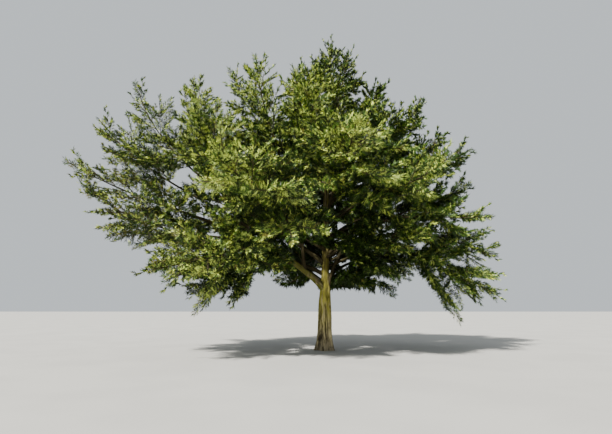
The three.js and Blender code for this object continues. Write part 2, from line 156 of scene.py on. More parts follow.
# A limb: where it leaves its parent (metres up the trunk, or a share of another limb), its stem's tip, its
# climb in degrees at foot and tip, its foot's radius, its longest twigs' length and its share of bare bough.
Limb = namedtuple("Limb", "name at tip climb radius spread bare parent", defaults=(0.0, "trunk"))
LIMBS = [Limb(*row) for row in (
    ("left_main", 2.45, (-9.7, -2.8, 7), (44, 28), 0.148, 1.7, 0.42),
    ("left_low", 0.3, (-8.65, -3.5, 5.9), (4, 40), 0.07, 1.4, 0.3, "left_main"),
    ("left_mid", 0.17, (-9.25, -1.8, 9.15), (42, 50), 0.092, 1.8, 0.4, "left_main"),
    ("left_high", 3.5, (-8.6, -0.5, 11.65), (38, 70), 0.096, 1.8, 0.38),
    ("left_rise", 0.1, (-2.85, -2.4, 11.65), (88, 78), 0.084, 1.9, 0.34, "left_main"),
    ("left_shoulder", 0.36, (-5.4, -2.4, 10.6), (52, 78), 0.066, 1.8, 0.26, "left_main"),
    ("left_front_low", 0.22, (-5.3, -5, 2.85), (6, -12), 0.066, 1.7, 0.3, "left_main"),
    ("left_hanging", 0.13, (-5.3, -0.8, 2.4), (16, -26), 0.058, 1.5, 0.24, "left_main"),
    ("left_back_low", 3.05, (-8, 2.7, 4.6), (30, 16), 0.088, 2),
    ("left_back_high", 5.6, (-5.8, 3, 9.6), (44, 55), 0.076, 2),
    ("front_low", 0.19, (-3.8, -4.4, 3.5), (14, -16), 0.056, 1.45, 0.42, "left_main"),
    ("front_left", 4.05, (-3.4, -6.4, 6.2), (40, 34), 0.082, 2, 0.32),
    ("front_mid", 5.35, (0.7, -6.3, 7), (42, 30), 0.074, 2, 0.28),
    ("front_high", 6.9, (-1.2, -3.2, 10.45), (45, 68), 0.062, 1.8),
    ("front_right", 4.85, (3.9, -4.7, 6.5), (44, 24), 0.076, 1.9),
    ("front_right_low", 3.75, (3.3, -3.3, 4.05), (26, -12), 0.06, 1.7),
    ("right_stem", 1.4, (6.35, -0.4, 8.45), (88, 26), 0.098, 1.9, 0.36),
    ("right_low", 0.3, (8.15, 1.9, 4.2), (26, -16), 0.068, 2.2, 0.1, "right_stem"),
    ("right_hanging", 0.22, (7.1, 0.2, 2.25), (26, -42), 0.056, 2, 0.34, "right_stem"),
    ("right_inner", 3.35, (3.6, 1.1, 3.85), (30, -8), 0.05, 1.6),
    ("right_high", 5.95, (4.45, -0.5, 10.7), (50, 52), 0.074, 1.8),
    ("right_top", 7.9, (2.85, 0.2, 11.9), (52, 60), 0.052, 1.7),
    ("right_back_low", 2.9, (5.3, 5.6, 3.9), (30, -8), 0.084, 2.1),
    ("right_back_mid", 4.45, (5.9, 4.1, 7.6), (44, 34), 0.08, 2.1),
    ("back_low", 3.3, (-0.7, 7.3, 4.5), (30, 0), 0.084, 2.2),
    ("back_left_mid", 4.8, (-4.4, 6, 7.7), (44, 34), 0.078, 2.2),
    ("back_mid", 6.1, (1.5, 5.8, 9.2), (46, 44), 0.07, 2.1),
    ("back_high", 7.5, (-1.9, 3.3, 11.3), (52, 62), 0.056, 1.8),
    ("inner_left", 6.5, (-4.2, -0.7, 12.2), (50, 70), 0.056, 1.7),
    ("inner_right", 6.7, (4.3, 1.7, 9.7), (50, 44), 0.056, 1.8),
    ("inner_front", 9.1, (-0.4, -1.7, 11.7), (50, 66), 0.038, 1.5),
    ("back_inner", 3.64, (1.5, 3.1, 4.5), (24, 6), 0.046, 1.7),
    ("left_inner", 4.5, (-6.1, 2.3, 8.2), (36, 34), 0.06, 2),
    ("right_under", 2.68, (2.3, 1.3, 3.75), (34, -2), 0.038, 1.2),
    ("left_under", 2.74, (-1.9, 2, 3.8), (30, 0), 0.038, 1.1),
    ("right_mid", 3.9, (6.75, 0.9, 7.3), (36, 26), 0.08, 2.1),
    ("right_back_inner", 4.9, (2.3, 2.5, 7), (40, 40), 0.044, 1.6),
    ("right_upper", 5.2, (5.6, 0.3, 9.5), (46, 44), 0.072, 1.7),
    ("right_near", 3.56, (2.3, 0.2, 4.5), (24, 0), 0.038, 1.2),
    ("right_level", 4.6, (6.6, -1.1, 5.35), (30, 0), 0.066, 1.9),
    ("left_level", 4.1, (-6.3, 0.9, 7.2), (34, 30), 0.06, 1.7),
    ("top_back", 9.3, (0.9, 2.1, 12.1), (48, 62), 0.038, 1.4),
    ("top_left", 9.7, (-1.1, 0.2, 12.85), (56, 78), 0.036, 1.3),
    ("top_right", 9.9, (1.2, -0.15, 13.45), (56, 76), 0.036, 1.4),
    ("leader", TRUNK_TOP, (0.48, -0.06, 13.9), (86, 84), 0.04, 1.2),
)]
NAMES = [limb.name for limb in LIMBS]
MASSES = ["foliage_" + name for name in NAMES]
MOSSY = "left_main"

# What the growth adds past the frame's shoots: sprays in slots along a shoot, and needles along a spray.
SHOOT_FOOT_RADIUS = (0.006, 0.004)
SHOOT_TIP_RADIUS = 0.003
TUBE_REACH = 0.98
SPRAY_SLOTS = 44
SPRAY_OFFSET = 0.7
SPRAY_LEAST = 14
SPRAY_LEAN = (0.95, 0.5)
SPRAY_REACH = 0.94
SPRAY_SHARE = (0.22, 0.13)
SPRAY_SIZES = (0.75, 1.25)
SPRAY_DROP = 0.45
SPRAY_RADIUS = 0.006
TIP_SPRAY_FROM = 0.78
CROWN_TOP = 14.54
NEEDLE_SLOTS = 11
NEEDLE_OFFSET = 0.9
NEEDLE_LEAST = 5
NEEDLE_LEAN = 0.72
NEEDLE_SWING = 0.3
LAST_NEEDLE_LEAN = 0.12
NEEDLE_SIZES = (0.8, 1.2)
TRIANGLES_A_PIECE = 190000

# The crown's middle and half spans, the shares of them between which needles shrink, and the side that the
# painted light comes from.
CROWN_MIDDLE = np.array([0.0, 0.0, 6.5])
CROWN_SPAN = np.array([9.0, 7.2, 7.6])
INNER_EDGE = (0.5, 0.9)
TO_LIGHT = np.array([-0.5, -0.45, 0.7])

# The light painted into a spray's tint is a sum: how far out it is, how it faces the painted light's side,
# chance by shoot and by spray, and its part of the crown. A part says where its painted light begins, over
# what width it grows, and to how much.
LIGHT_OUTSIDE = 0.5
LIGHT_FACING = 0.3
LIGHT_BY_SHOOT = 0.25
LIGHT_BY_SPRAY = 1.1
LIGHT_BASE = 0.05
FAR_LEFT = (4, 3, -0.42)
LOW_SIDE, LOW = (1, 3, 0.38), (-7.5, 3)
RIGHT_PART = (0.5, 3, 0.05)
TOP_PART = (10.8, 2, -0.36)
# Soft patches of painted light on crest and right flank and of painted shade on the belly: middle and half
# width across, the same upwards, and light.
LIGHT_PATCHES = ((0.2, 2.2, 9.6, 1.7, 0.2), (3.3, 1.9, 6.8, 1.9, 0.36), (-2, 1.5, 7, 1.2, -0.14))
# Painted light above which a spray is green, and above which it takes the painted sunlight tint.
GREEN_ABOVE, SUN_TINT_ABOVE = 0.25, 0.6
# The shares of blue-green and olive sprays: everywhere, and what the crown's parts add.
BLUE_LEAST, BLUE_RIGHT, BLUE_TOP = 0.12, (0.5, 5, 0.5), (10.5, 3, 0.4)
OLIVE_LEAST, OLIVE_LEFT, OLIVE_LOW = 0.18, (3.5, 4, 0.45), (-8.5, 3.5)

# Bark relief. Folds: times the count round, rows a metre, seed, power and weight; scales: the same without a
# power. Plates: count round and seed. Waves: count round, rows a metre and seed.
COLUMN_SEED = 3.7
BARK_TWIST = 0.03
BARK_FOLDS = ((1, 1.3, 0, 0.7, 0.5), (2, 3.1, 11, 0.8, 0.32))
BARK_SCALES = (5, 16, 23, 0.18)
TRUNK_PLATES, TRUNK_WAVES, TRUNK_SWELL = (16, 5), (5, 1.1, 41), 0.05
LIMB_PLATES, LIMB_WAVES, LIMB_SWELL = (9, 71), (3, 1.7, 90), 0.22
LIMB_SHIFT = 3.3
COLLAR_REACH = 0.28
SKIN_LEVEL = 0.75
FULL_RADIUS = 0.3
RINGS_CHANGE = 3.4
TRUNK_RINGS = (170, 130)
CAP_RELIEF = 0.5

# Bark colours: heights between which the foot's brown fades and the crown's painted shade deepens, the height
# that algae take to thicken, and the spans of relief and streaks from dark to light, the furrows' dark being
# partly their own colour and partly painted shade.
FOOT_SPAN, FOOT_MOST = (0.05, 0.6), 0.75
CROWN_SHADE_SPAN = (2.3, 3.6)
FILM_CLIMB = 1.1
FURROW_SPAN = (0.26, 0.66)
FILM_SPAN, FILM_LEAST = (0.3, 0.6), 0.45
STREAK_SPAN = (0.3, 0.7)
YOUNG_NEEDLES = (1.42, 1.22, 0.7)

# The stage: a wide lens at eye height, tipped up at the crown, the floor's half side, and the sun's tilt from
# overhead, turn and width in degrees.
CAMERA_LENS, CAMERA_SENSOR = 24, 36
CAMERA_ACROSS, CAMERA_BACK = -0.7795, 17.5326
CAMERA_PITCH = 12.8407
FLOOR_HALF = 400
SUN_TILT, SUN_TURN, SUN_WIDTH = 44, -40, 3
SUN_COLOUR = (1, 0.97, 0.9)


def chance(seed, place):
    """From 0 to 1: the part after the point of sin(127.1 seed + 311.7 place) * 43758.5453."""
    wave = np.sin(seed * 127.1 + place * 311.7) * 43758.5453
    return wave - np.floor(wave)


def swing(seed, place):
    """Chance from -0.5 to 0.5."""
    return chance(seed, place) - 0.5


def mix(a, b, share):
    return a + (b - a) * share


def part_way(value, start, width, most=1):
    """From 0 at start to most a width further on."""
    return np.clip((value - start) / width, 0, 1) * most


def hand_of(number):
    """1 for even numbers and -1 for odd ones."""
    return 1 - 2 * (number % 2)


def unit(vectors):
    return vectors / np.linalg.norm(vectors, axis=-1, keepdims=True)


def rows(numbers):
    """Numbers as a column, each to scale its own vector."""
    return np.asarray(numbers)[..., None]


def batches(points):
    """Slices that take the points POINTS_AT_ONCE at a time."""
    return [slice(first, first + POINTS_AT_ONCE) for first in range(0, len(points), POINTS_AT_ONCE)]


def trunk_radius(height):
    """Straight lines between the stations."""
    return np.interp(height, TRUNK_STATIONS[:, 0], TRUNK_STATIONS[:, 1])


def trunk_axis(height):
    """Straight up, leaning right by lean * (height / top) ** power."""
    lean = TRUNK_LEAN * (height / TRUNK_TOP) ** LEAN_POWER
    return np.stack([lean, np.zeros_like(height), height], axis=-1)


def flute(angle, height):
    """1 + depth * cos(count * (angle + turn)), the depth fading from root lobes to shallow flutes."""
    fade = np.maximum(0, 1 - height / FLUTE_TOP)
    depth = FLUTE_ABOVE * fade + (FLUTE_AT_GROUND - FLUTE_ABOVE) * np.exp(-height / FLARE_FADE)
    return 1 + depth * np.cos(FLUTE_COUNT * (angle + FLUTE_TURN))


def bezier(controls, t):
    """(1-t)^3 P0 + 3t(1-t)^2 P1 + 3t^2(1-t) P2 + t^3 P3."""
    weights = np.stack([(1 - t) ** 3, 3 * t * (1 - t) ** 2, 3 * t**2 * (1 - t), t**3], axis=-1)
    return np.einsum("...i,...ij->...j", weights, controls)


def bezier_tangent(controls, t):
    """The derivative's direction: (1-t)^2 (P1-P0) + 2t(1-t) (P2-P1) + t^2 (P3-P2), as a unit vector."""
    weights = np.stack([(1 - t) ** 2, 2 * t * (1 - t), t**2], axis=-1)
    return unit(np.einsum("...i,...ij->...j", weights, np.diff(controls, axis=-2)))


def lay_limbs():
    """Every limb's curve as four points, and its level sideways direction. It leaves its parent's middle line
    at one climb and reaches its tip at another, and the inner points stand off the ends by CURVE_PULL times
    the distance between them."""
    controls = []
    sides = []
    for index, limb in enumerate(LIMBS, start=1):
        if limb.parent == "trunk":
            start = trunk_axis(limb.at)
        else:
            start = bezier(controls[NAMES.index(limb.parent)], limb.at)
        end = np.array(limb.tip)
        azimuth = math.atan2(end[1] - start[1], end[0] - start[0])
        out = np.array([math.cos(azimuth), math.sin(azimuth), 0.0])
        side = np.cross(UP, out)
        pull = CURVE_PULL * np.linalg.norm(end - start)
        ends = []
        for degrees, place in zip(limb.climb, WANDER_PLACES):
            climb = math.radians(degrees)
            wander = swing(index, place) * 2 * CURVE_WANDER
            ends.append((out * math.cos(climb) + UP * math.sin(climb) + side * wander) * pull)
        controls.append(np.array([start, start + ends[0], end - ends[1], end]))
        sides.append(side)
    return np.array(controls), np.array(sides)


CONTROLS, SIDES = lay_limbs()
INDEX = np.arange(1, len(LIMBS) + 1)
BARE, RADIUS, SPREAD = np.array([(limb.bare, limb.radius, limb.spread) for limb in LIMBS]).T


def limb_points(t):
    """Points of every limb at its own row of t."""
    return bezier(CONTROLS[:, None], t)


def limb_radius(radius, t):
    """From the foot's radius down to the tip's by t ** TAPER."""
    return mix(radius, STEM_TIP_RADIUS, t**TAPER)


SPACE_SHARES = np.linspace(0, 1, SPACE_PIECES + 1)
STEM_POINTS = limb_points(mix(BARE[:, None], 1, SPACE_SHARES[None]))


def is_own(points, limb):
    """True where the distance to the limb's own stem is at most SPACE_EDGE times that to the nearest stem."""
    own = np.empty(len(points), bool)
    for part in batches(points):
        apart = points[part, None, None] - STEM_POINTS[None]
        to_stem = np.sqrt((apart**2).sum(-1)).min(-1)
        mine = np.take_along_axis(to_stem, limb[part, None], 1)[:, 0]
        own[part] = mine <= to_stem.min(-1) * SPACE_EDGE
    return own


def wood_pieces():
    """The trunk and every bare bough as straight pieces: feet, tips and radii."""
    heights = np.linspace(0, TRUNK_TOP, TRUNK_PIECES + 1)
    places = trunk_axis(heights)
    boughs = BARE > 0
    t = BARE[boughs, None] * SPACE_SHARES[None]
    points = bezier(CONTROLS[boughs][:, None], t)
    thick = limb_radius(RADIUS[boughs, None], t)[:, :-1]
    feet = np.concatenate([places[:-1], points[:, :-1].reshape(-1, 3)])
    tips = np.concatenate([places[1:], points[:, 1:].reshape(-1, 3)])
    radii = np.concatenate([trunk_radius(heights[:-1]) * (1 + FLUTE_AT_GROUND), thick.ravel()])
    return feet, tips, radii


def clear_of_wood(points):
    """True where a point is more than CLEARANCE away from the skin of all bare wood."""
    feet, tips, radii = wood_pieces()
    across = tips - feet
    squared = (across**2).sum(-1)
    clear = np.empty(len(points), bool)
    for part in batches(points):
        from_foot = points[part, None] - feet[None]
        share = np.clip((from_foot * across[None]).sum(-1) / squared, 0, 1)
        gap = np.sqrt(((from_foot - across[None] * rows(share)) ** 2).sum(-1)) - radii
        clear[part] = gap.min(-1) > CLEARANCE
    return clear


GROWTH_PARTS = ("root", "along", "length", "tilt", "seed", "limb", "bow")


class Growth:
    """Many straight or slightly bowed growths: the root, direction, length, tilt, seed, limb and bow of each,
    and its side and face, turned from level by its tilt."""

    def __init__(self, root, along, length, tilt, seed, limb, bow=0):
        self.root, self.along, self.length, self.tilt = root, along, length, tilt
        self.seed, self.limb = seed, limb
        level = unit(np.cross(UP, along))
        lifted = np.cross(along, level)
        self.across = level * rows(np.cos(tilt)) + lifted * rows(np.sin(tilt))
        self.face = np.cross(along, self.across)
        self.bow = bow + np.zeros_like(root)

    def taken(self, keep):
        """Only the growths where keep is True."""
        return Growth(*(getattr(self, part)[keep] for part in GROWTH_PARTS))

    def point(self, share):
        """root + along * length * share + bow * 4 share (1 - share), for the same shares of each growth."""
        share = rows(share)
        reach = self.along[:, None] * self.length[:, None, None] * share
        return self.root[:, None] + reach + self.bow[:, None] * 4 * share * (1 - share)

    def at(self, share):
        """The point of each at one share of its length."""
        return self.point([[share]])[:, 0]

    def end(self):
        return self.at(1)

    def headings(self, hand, lean, lift):
        """Directions for what grows on each: along * cos lean + across * hand * sin lean + face * lift."""
        along = self.along[:, None] * rows(np.cos(lean)) + self.across[:, None] * rows(hand * np.sin(lean))
        return unit(along + self.face[:, None] * rows(lift))


def joined(growths):
    """Several growths as one."""
    return Growth(*(np.concatenate([getattr(growth, part) for growth in growths]) for part in GROWTH_PARTS))


def drawn_in(root, along, length, limb):
    """The share of its length to which each growth is drawn in, by DRAW_IN at a time, until its tip is in its
    limb's own space, or 0 where too little would be left."""
    share = np.ones(len(root))
    for _ in range(round(math.log(SHORTEST) / math.log(DRAW_IN))):
        out = ~is_own(root + along * rows(length * share), limb)
        if not out.any():
            break
        share[out] *= DRAW_IN
    return np.where(share > SHORTEST, share, 0)


def tilt_of(seed):
    return mix(-SPRAY_TILT, SPRAY_TILT, chance(seed, TILT_PLACE))


def bow_of(along, length, seed, amount):
    """A small bow sideways and up or down, as a share of the length."""
    level = unit(np.cross(UP, along))
    sideways = swing(seed, BOW_PLACES[0]) * 2
    upwards = chance(seed, BOW_PLACES[1]) - BOW_DROP
    return (level * rows(sideways) + UP * rows(upwards)) * rows(length * amount)


def stem_twigs(bow):
    """The twigs of every stem by the seeded rule: each turned by the golden angle from the last, leaning
    forwards, and shorter towards the stem's tip. Gives them, the length of each one's tip shoot and its
    radius."""
    k = np.arange(TWIGS_ON_STEM)[None]
    share = (k + 0.5) / TWIGS_ON_STEM
    t = mix(BARE[:, None], 1, mix(*TWIG_REACH, share))
    index = INDEX[:, None]
    along = bezier_tangent(CONTROLS[:, None], t)
    over = unit(np.cross(SIDES[:, None], along))
    side = unit(np.cross(along, over))
    around = k * GOLDEN_ANGLE + chance(index, TURN_PLACE + k)
    lean = mix(*TWIG_LEAN, share)
    heading = along * rows(np.cos(lean)) + side * rows(np.sin(lean) * np.cos(around))
    heading = unit(heading + over * rows(np.sin(lean) * np.sin(around) * TWIG_FLATNESS) + UP * TWIG_RISE)
    shrink = mix(1, TWIG_TIP_SHARE, share**TWIG_SHRINK_POWER)
    variety = mix(1 - TWIG_VARIETY, 1 + TWIG_VARIETY, chance(index, LENGTH_PLACE + k))
    stalk = (SPREAD[:, None] * shrink * variety).ravel()
    blade = np.maximum(stalk * TIP_SPRAY_LENGTH, SHOOT_LEAST)
    seed = (index * SEEDS_PER_LIMB + k).ravel()
    limb = np.repeat(INDEX - 1, TWIGS_ON_STEM)
    root = limb_points(t).reshape(-1, 3)
    heading = heading.reshape(-1, 3)
    kept = drawn_in(root, heading, stalk + blade, limb)
    stalk *= kept
    twigs = Growth(root, heading, stalk, tilt_of(seed), seed, limb, bow_of(heading, stalk, seed, bow))
    thick = np.minimum(TWIG_RADIUS, limb_radius(RADIUS[:, None], t).ravel() * TWIG_SHARE_OF_STEM)
    return twigs.taken(kept > 0), (blade * kept)[kept > 0], thick[kept > 0]


def picked(slot, slots, count):
    """True for about count of the slots, evenly spread: where floor((slot + 1) count / slots) steps on."""
    return np.floor((slot + 1) * count / slots) > np.floor(slot * count / slots)


def all_shoots(settings):
    """Every shoot that is clear of the wood: to a twig's sides in turn, and on tips of twigs and stems."""
    twigs, blade, _ = stem_twigs(settings.twig_bow)
    j = np.arange(SHOOTS_ON_TWIG)[None]
    share = (j + 0.5) / SHOOTS_ON_TWIG
    seed = twigs.seed[:, None]
    hand = hand_of(j + seed)
    flat = unit(np.cross(twigs.along, UP))[:, None]
    along = twigs.along[:, None] * SHOOT_FORWARD + flat * rows(hand * SHOOT_ACROSS)
    along = unit(along + UP * rows(mix(*SHOOT_RISE, chance(seed, j))))
    stalk = twigs.length[:, None]
    least = np.where(stalk < BARE_TWIG, stalk * settings.short_twig_shoot, SHOOT_LEAST)
    length = np.clip(stalk * mix(*SHOOT_LENGTH, share), least, SHOOT_MOST)
    count = np.clip(stalk / settings.shoot_spacing, SHOOTS_LEAST, SHOOTS_ON_TWIG)
    keep = picked(j, SHOOTS_ON_TWIG, count)
    root = twigs.point(share)[keep]
    along = along[keep]
    length = length[keep]
    serial = (seed * SEEDS_PER_TWIG + j)[keep]
    limb = np.repeat(twigs.limb, keep.sum(1))
    kept = drawn_in(root, along, length, limb)
    length = length * kept
    tilt = tilt_of((seed + j)[keep])
    side = Growth(root, along, length, tilt, serial, limb, bow_of(along, length, serial, settings.twig_bow))
    tips = Growth(
        twigs.end(), twigs.along, blade, twigs.tilt, twigs.seed * SEEDS_PER_TWIG + TWIG_TIP_SEED, twigs.limb,
        bow_of(twigs.along, blade, twigs.seed, settings.twig_bow),
    )
    along_limbs = limb_points(np.linspace(0, 1, LENGTH_STEPS + 1)[None])
    limb_length = np.linalg.norm(np.diff(along_limbs, axis=1), axis=-1).sum(-1)
    back = bezier(CONTROLS, 1 - STEM_SPRAY_BACK / limb_length)
    end = CONTROLS[:, 3]
    reach = np.linalg.norm(end - back, axis=-1) + STEM_SPRAY_REACH
    tip_seed = INDEX * SEEDS_PER_LIMB * SEEDS_PER_TWIG + STEM_TIP_SEED
    stem_tips = Growth(back, unit(end - back), reach, tilt_of(INDEX), tip_seed, INDEX - 1)
    shoots = joined([side.taken(kept > 0), tips, stem_tips])
    return shoots.taken(clear_of_wood(shoots.at(SHOOT_MIDDLE)) & clear_of_wood(shoots.end()))


def all_sprays(shoots, settings):
    """The sprays of every shoot: to its sides in turn, shorter towards its tip, and one on its tip. None ends
    above CROWN_TOP."""
    m = np.arange(SPRAY_SLOTS)[None]
    share = (m + SPRAY_OFFSET) * SPRAY_REACH / SPRAY_SLOTS
    seed = shoots.seed[:, None] * SEEDS_PER_SHOOT + m
    lift = (chance(seed, SPRAY_LIFT_PLACE) - SPRAY_DROP) * settings.spray_lift
    along = shoots.headings(hand_of(m + shoots.seed[:, None]), mix(*SPRAY_LEAN, share), lift)
    size = mix(*SPRAY_SIZES, chance(seed, SPRAY_SIZE_PLACE))
    length = shoots.length[:, None] * mix(*SPRAY_SHARE, share) * size
    count = np.clip(shoots.length / settings.spray_spacing, SPRAY_LEAST, SPRAY_SLOTS)
    keep = picked(m, SPRAY_SLOTS, count[:, None])
    root = shoots.point(share)[keep]
    turn = (shoots.tilt[:, None] + swing(seed, SPRAY_ROLL_PLACE) * settings.spray_roll)[keep]
    limb = np.repeat(shoots.limb, keep.sum(1))
    side = Growth(root, along[keep], length[keep], turn, seed[keep], limb)
    tip_root = shoots.at(TIP_SPRAY_FROM)
    gap = shoots.end() - tip_root
    tip_seed = shoots.seed * SEEDS_PER_SHOOT + SHOOT_TIP_SEED
    tips = Growth(tip_root, unit(gap), np.linalg.norm(gap, axis=-1), shoots.tilt, tip_seed, shoots.limb)
    sprays = joined([side, tips])
    end = sprays.end()
    return sprays.taken(clear_of_wood(end) & (end[:, 2] < CROWN_TOP))


def tubes(paths, radii, sides, hint, tip_reach):
    """Closed tubes along many paths. Each ring is path + radius * (cos a * side + sin a * rise), a going once
    round, side being the hint made square to the path and rise = along x side. Fans close the foot at the
    path's first point and the tip at a point tip_reach past its last. Gives points and faces."""
    count, rings = paths.shape[:2]
    radii = radii.reshape(count, rings, -1, 1)
    along = unit(np.gradient(paths, axis=1))
    side = unit(hint - along * (hint * along).sum(-1, keepdims=True))
    rise = np.cross(along, side)
    angle = np.arange(sides) * (2 * math.pi / sides)
    turned = side[:, :, None] * rows(np.cos(angle)) + rise[:, :, None] * rows(np.sin(angle))
    skin = (paths[:, :, None] + turned * radii).reshape(-1, 3)
    feet = paths[:, 0]
    tips = paths[:, -1] + along[:, -1] * rows(tip_reach)
    corner = np.arange(count * rings * sides).reshape(count, rings, sides)
    after = np.roll(corner, -1, axis=2)
    bands = np.stack([corner[:, :-1], after[:, :-1], after[:, 1:], corner[:, 1:]], axis=-1)
    foot = np.broadcast_to(len(skin) + np.arange(count)[:, None], (count, sides))
    tip = foot + count
    foot_fan = np.stack([foot, after[:, 0], corner[:, 0]], axis=-1).reshape(-1, 3)
    tip_fan = np.stack([tip, corner[:, -1], after[:, -1]], axis=-1).reshape(-1, 3)
    return np.concatenate([skin, feet, tips]), [bands.reshape(-1, 4), foot_fan, tip_fan]


def new_object(name, data):
    made = bpy.data.objects.new(name, data)
    bpy.context.scene.collection.objects.link(made)
    return made


def new_piece(name, points, faces, smooth):
    """A mesh object at the origin. faces is a list of arrays whose rows are faces."""
    old = bpy.data.objects.get(name)
    if old is not None:
        bpy.data.objects.remove(old)
    corners = np.concatenate([part.ravel() for part in faces])
    counts = np.concatenate([np.full(len(part), part.shape[1]) for part in faces])
    starts = np.cumsum(counts) - counts
    mesh = bpy.data.meshes.new(name)
    mesh.vertices.add(len(points))
    mesh.vertices.foreach_set("co", points.astype(np.float32).ravel())
    mesh.loops.add(len(corners))
    mesh.loops.foreach_set("vertex_index", corners.astype(np.int32))
    mesh.polygons.add(len(counts))
    mesh.polygons.foreach_set("loop_start", starts.astype(np.int32))
    mesh.polygons.foreach_set("use_smooth", np.full(len(counts), smooth))
    mesh.update(calc_edges=True)
    mesh.validate()
    return new_object(name, mesh)


def make_piece(name, surface, smooth, material, nodes):
    """A piece of the tree from points, faces and, on bark, the relief that its material reads, which rides on
    the tree and stands for its nodes."""
    points, faces, *relief = surface
    if not len(points):
        raise RuntimeError(f"{name} has no faces")
    piece = new_piece(name, points, faces, smooth)
    for values in relief:
        attribute = piece.data.attributes.new("bark_relief", "FLOAT", "POINT")
        attribute.data.foreach_set("value", values.astype(np.float32))
    piece.data.materials.append(material)
    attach(piece, BODY)
    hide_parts(*nodes)


def bark_noise(turn, height, columns, per_metre, seed):
    """Smooth noise from 0 to 1 that repeats round the limb: the chances at a place's four lattice corners,
    blended both ways by 3x^2 - 2x^3."""
    u = turn * columns
    v = height * per_metre
    i = np.floor(u)
    j = np.floor(v)
    fu = (u - i) ** 2 * (3 - 2 * (u - i))
    fv = (v - j) ** 2 * (3 - 2 * (v - j))

    def corner(di, dj):
        return chance(seed + ((i + di) % columns) * COLUMN_SEED, j + dj)

    low = mix(corner(0, 0), corner(1, 0), fu)
    high = mix(corner(0, 1), corner(1, 1), fu)
    return mix(low, high, fv)


def bark_relief(turn, height, plates, seed):
    """From 0 in the furrows to 1 on the ridges: |2n - 1| ** power of noise drawn out along the limb, at two
    sizes, and finer scales."""
    twisted = turn + BARK_TWIST * height
    relief = 0
    for times, per_metre, shift, power, weight in BARK_FOLDS:
        fold = np.abs(2 * bark_noise(twisted, height, plates * times, per_metre, seed + shift) - 1)
        relief = relief + weight * fold**power
    times, per_metre, shift, weight = BARK_SCALES
    return relief + weight * bark_noise(turn, height, plates * times, per_metre, seed + shift)


def lifted_by(relief, radius, settings):
    """How far relief moves a skin out: depth * min(1, radius / full radius) * (relief - level)."""
    return settings.ridge_depth * np.minimum(1, radius / FULL_RADIUS) * (relief - SKIN_LEVEL)


def trunk_surface(settings):
    """The trunk's skin: the frame's radius times its flutes, with a cleft of exp(-x^2), slow swellings and
    the bark's relief. Gives points, faces and the relief."""
    low = np.linspace(0, RINGS_CHANGE, TRUNK_RINGS[0], endpoint=False)
    high = np.linspace(RINGS_CHANGE, TRUNK_TOP, TRUNK_RINGS[1])
    height = np.concatenate([low, high])[:, None]
    sides = settings.trunk_sides
    turn = (np.arange(sides) / sides)[None]
    angle = turn * 2 * math.pi
    relief = bark_relief(turn, height, *TRUNK_PLATES)
    waves = bark_noise(turn, height, *TRUNK_WAVES) - 0.5
    from_cleft = (angle - CLEFT_ANGLE) / CLEFT_WIDTH
    fade = part_way(height, 0, CLEFT_FADE) * part_way(-height, -CLEFT_TOP, CLEFT_FADE)
    radius = trunk_radius(height) * flute(angle, height)
    radius = radius * (1 - CLEFT_DEPTH * fade * np.exp(-(from_cleft**2)))
    swell = TRUNK_SWELL * trunk_radius(height) * waves * np.minimum(1, height)
    radius = radius + lifted_by(relief, radius, settings) + swell
    paths = trunk_axis(height[:, 0])[None]
    points, faces = tubes(paths, radius[None], sides, RIGHT, 0)
    points[:, 2] = np.maximum(points[:, 2], 0)
    return points, faces, np.concatenate([relief.ravel(), [CAP_RELIEF, CAP_RELIEF]])


def limb_surface(limbs, first, last, sides, rings, settings):
    """The skin of several limbs between two shares of their curves: the frame's taper, with a collar of
    exp(-run) at the parent, slow swellings and the bark's relief. Gives points, faces and the relief."""
    t = mix(first[:, None], last[:, None], np.linspace(0, 1, rings)[None])
    paths = bezier(CONTROLS[limbs][:, None], t)
    steps = np.linalg.norm(np.diff(paths, axis=1, prepend=paths[:, :1]), axis=-1)
    run = np.cumsum(steps, axis=1)
    radius = limb_radius(RADIUS[limbs][:, None], t)
    collar = 1 + settings.collar * np.exp(-run / COLLAR_REACH) * (first[:, None] == 0)
    turn = (np.arange(sides) / sides)[None, None]
    along = run[..., None] + limbs[:, None, None] * LIMB_SHIFT
    relief = bark_relief(turn, along, *LIMB_PLATES)
    waves = bark_noise(turn, along, *LIMB_WAVES) - 0.5
    thick = (radius * collar)[..., None]
    skin = thick * (1 + LIMB_SWELL * waves) + lifted_by(relief, thick, settings)
    points, faces = tubes(paths, skin, sides, SIDES[limbs][:, None], radius[:, -1])
    return points, faces, np.concatenate([relief.ravel(), np.full(2 * len(limbs), CAP_RELIEF)])


def growth_tubes(growth, foot_radius, tip_radius, rings, sides):
    """Tapering tubes along bowed growths, each ending in a point."""
    share = np.linspace(0, 1, rings)[None]
    radii = mix(rows(foot_radius), tip_radius, share)
    return tubes(growth.point(share * TUBE_REACH), radii, sides, growth.across[:, None], tip_radius * 2)


def triangles(corners):
    """Loose triangles as points and faces."""
    return corners.reshape(-1, 3), [np.arange(3 * len(corners)).reshape(-1, 3)]


def spray_axes(sprays):
    """The fine axis of each spray: a sliver from root -/+ across * radius to its end."""
    half = sprays.across * SPRAY_RADIUS
    return triangles(np.stack([sprays.root - half, sprays.root + half, sprays.end()], axis=1))


def crown_share(points):
    """How far out in the crown a place is, in shares of its half spans: about 1 at its skin."""
    return np.linalg.norm((points - CROWN_MIDDLE) / CROWN_SPAN, axis=-1)


